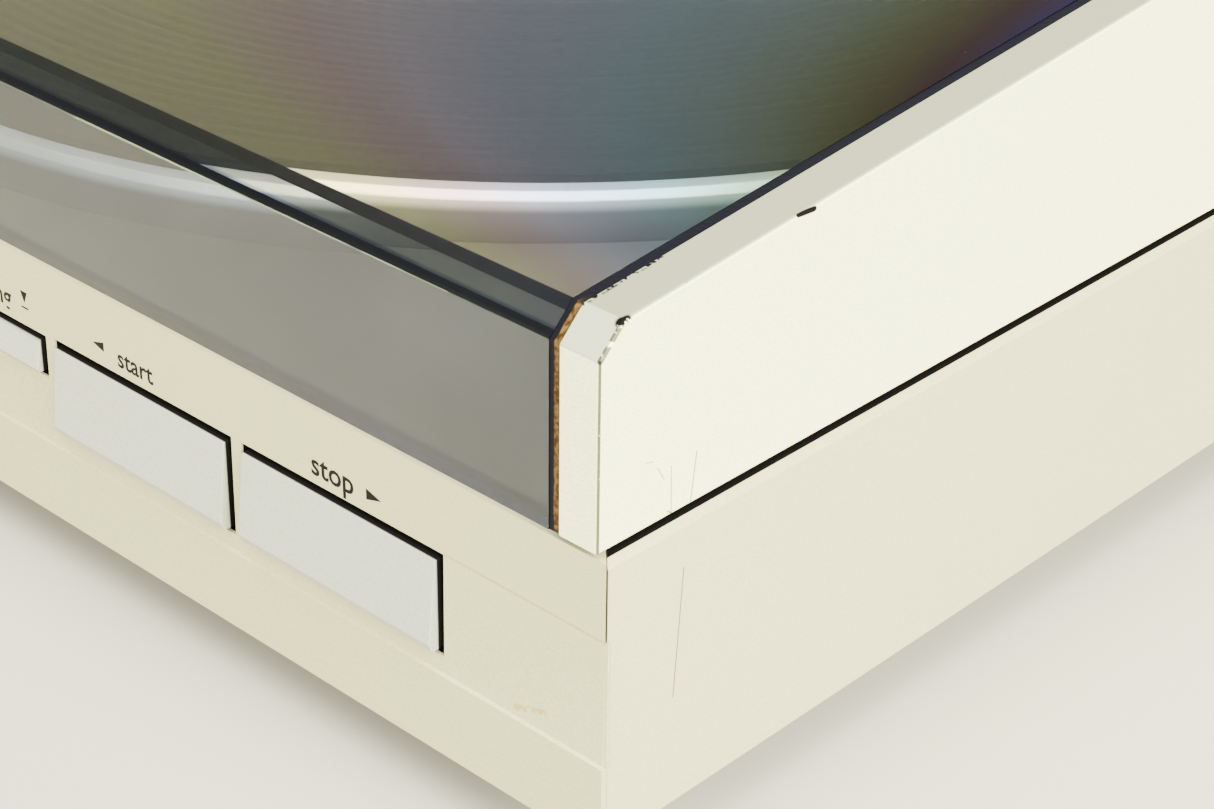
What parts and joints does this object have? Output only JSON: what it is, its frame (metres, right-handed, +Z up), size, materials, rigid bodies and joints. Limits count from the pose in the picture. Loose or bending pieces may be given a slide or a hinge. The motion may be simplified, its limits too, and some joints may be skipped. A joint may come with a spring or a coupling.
{
  "type": "turntable record player",
  "caption": "Low record player with linear-tracking arm, sloping hinged lid with smoke window between opaque cheeks, front wedge keys and round platter.",
  "frame": {"origin": "middle of the player's outline, on the surface that its feet stand on", "axes": "+X to the player's right as seen from the front, +Y to the rear, +Z up"},
  "size_m": [0.351, 0.3782, 0.1228],
  "materials": {
    "case_paint": "fine metallic champagne paint, satin",
    "cheek_paint": "fine metallic champagne paint, satin",
    "deck_grey": "satin grey paint",
    "black_plastic": "matt",
    "zinc_steel": "zinc plated",
    "polished_steel": "polished",
    "foot_rubber": "matt",
    "belt_rubber": "matt",
    "mat_rubber": "ribbed, matt",
    "brass_bush": "turned",
    "core_steel": "varnished laminations",
    "coil_copper": "enamelled wire under tape",
    "board_green": "solder mask",
    "smoke_acrylic": "smoke tinted, polished",
    "bond_amber": "aged adhesive",
    "platter_aluminium": "turned",
    "arm_aluminium": "satin anodised",
    "key_silver": "silver paint, satin"
  },
  "bodies": {
    "cabinet": {"case_shell": "case_paint", "front_panel": "case_paint", "deck_plate": "deck_grey", "bottom_cover": "black_plastic", "bottom_screws": "zinc_steel", "feet": "black_plastic", "foot_pads": "foot_rubber", "bearing_bridge": "zinc_steel", "bearing_housing": "brass_bush", "chassis_screws": "zinc_steel", "drive_motor": "zinc_steel", "motor_bracket": "zinc_steel", "drive_belt": "belt_rubber", "transformer_core": "core_steel", "transformer_coil": "coil_copper", "main_board": "board_green", "board_parts": "black_plastic", "key_board": "board_green", "key_switches": "black_plastic", "key_shaft": "zinc_steel", "guide_rod": "polished_steel", "guide_brackets": "black_plastic", "drive_cord": "belt_rubber", "arm_motor": "zinc_steel", "arm_hood": "deck_grey", "arm_rest": "black_plastic", "hinge_base_left": "black_plastic", "hinge_base_right": "black_plastic", "hinge_pins": "polished_steel", "hinge_screws": "zinc_steel", "connector_plate": "black_plastic", "phono_jacks": "polished_steel", "ground_post": "polished_steel", "mains_inlet": "black_plastic"},
    "lid": {"lid_window": "smoke_acrylic", "lid_cheek_left": "cheek_paint", "lid_cheek_right": "cheek_paint", "lid_bonds": "bond_amber", "lid_rear_rail": "cheek_paint", "hinge_leaf_left": "black_plastic", "hinge_leaf_right": "black_plastic", "leaf_screws": "zinc_steel", "lid_bumpers": "foot_rubber"},
    "turntable": {"platter": "platter_aluminium", "platter_mat": "mat_rubber", "platter_spindle": "polished_steel"},
    "motor_rotor": {"motor_pulley": "brass_bush"},
    "carriage": {"arm_carriage": "black_plastic"},
    "tonearm": {"arm_tube": "arm_aluminium", "headshell": "black_plastic", "cartridge": "black_plastic", "stylus": "polished_steel"},
    "cord_driver": {"driver_wheel": "black_plastic"},
    "cord_idler": {"idler_wheel": "black_plastic"},
    "button_stop": {"key_stop": "key_silver"},
    "button_start": {"key_start": "key_silver"},
    "button_cueing": {"key_cueing": "key_silver"},
    "button_speed": {"key_speed": "key_silver"},
    "button_power": {"key_power": "key_silver"}
  },
  "joints": [
    {"name": "lid_hinge", "type": "hinge", "parent": "cabinet", "child": "lid", "pos_m": [0, 0.18413, 0.0585], "axis": [-1, 0, 0], "range_deg": [0, 62]},
    {"name": "platter_spin", "type": "hinge", "parent": "cabinet", "child": "turntable", "pos_m": [0, -0.02187, 0.0555], "axis": [0, 0, 1], "continuous": true},
    {"name": "motor_spin", "type": "hinge", "parent": "cabinet", "child": "motor_rotor", "pos_m": [-0.0693, 0.04743, 0.0455], "axis": [0, 0, 1], "continuous": true},
    {"name": "arm_travel", "type": "slide", "parent": "cabinet", "child": "carriage", "axis": [-1, 0, 0], "range_m": [0, 0.102]},
    {"name": "arm_lift", "type": "hinge", "parent": "carriage", "child": "tonearm", "pos_m": [0.154, 0.13712, 0.0835], "axis": [1, 0, 0], "range_deg": [0, 3]},
    {"name": "driver_spin", "type": "hinge", "parent": "cabinet", "child": "cord_driver", "pos_m": [0.02, 0.15313, 0.0645], "axis": [0, 0, 1], "range_deg": [-940, 0]},
    {"name": "idler_spin", "type": "hinge", "parent": "cabinet", "child": "cord_idler", "pos_m": [0.15, 0.15313, 0.0645], "axis": [0, 0, 1], "range_deg": [-940, 0]},
    {"name": "stop_press", "type": "hinge", "parent": "cabinet", "child": "button_stop", "pos_m": [0, -0.18188, 0.04], "axis": [1, 0, 0], "range_deg": [0, 5], "stiffness_Nm_per_rad": 0.25, "springref_deg": -2.29},
    {"name": "start_press", "type": "hinge", "parent": "cabinet", "child": "button_start", "pos_m": [0, -0.18188, 0.04], "axis": [1, 0, 0], "range_deg": [0, 5], "stiffness_Nm_per_rad": 0.25, "springref_deg": -2.29},
    {"name": "cueing_press", "type": "hinge", "parent": "cabinet", "child": "button_cueing", "pos_m": [0, -0.18188, 0.04], "axis": [1, 0, 0], "range_deg": [0, 5], "stiffness_Nm_per_rad": 0.25, "springref_deg": -2.29},
    {"name": "speed_press", "type": "hinge", "parent": "cabinet", "child": "button_speed", "pos_m": [0, -0.18188, 0.04], "axis": [1, 0, 0], "range_deg": [0, 5], "stiffness_Nm_per_rad": 0.25, "springref_deg": -2.29},
    {"name": "power_press", "type": "hinge", "parent": "cabinet", "child": "button_power", "pos_m": [0, -0.18188, 0.04], "axis": [1, 0, 0], "range_deg": [0, 5], "stiffness_Nm_per_rad": 0.25, "springref_deg": -2.29}
  ],
  "couplings": [
    {"joint": "motor_spin", "follows": "platter_spin", "ratio": 11.429},
    {"joint": "driver_spin", "follows": "arm_travel", "rad_per_m": -158.73},
    {"joint": "idler_spin", "follows": "arm_travel", "rad_per_m": -158.73}
  ]
}
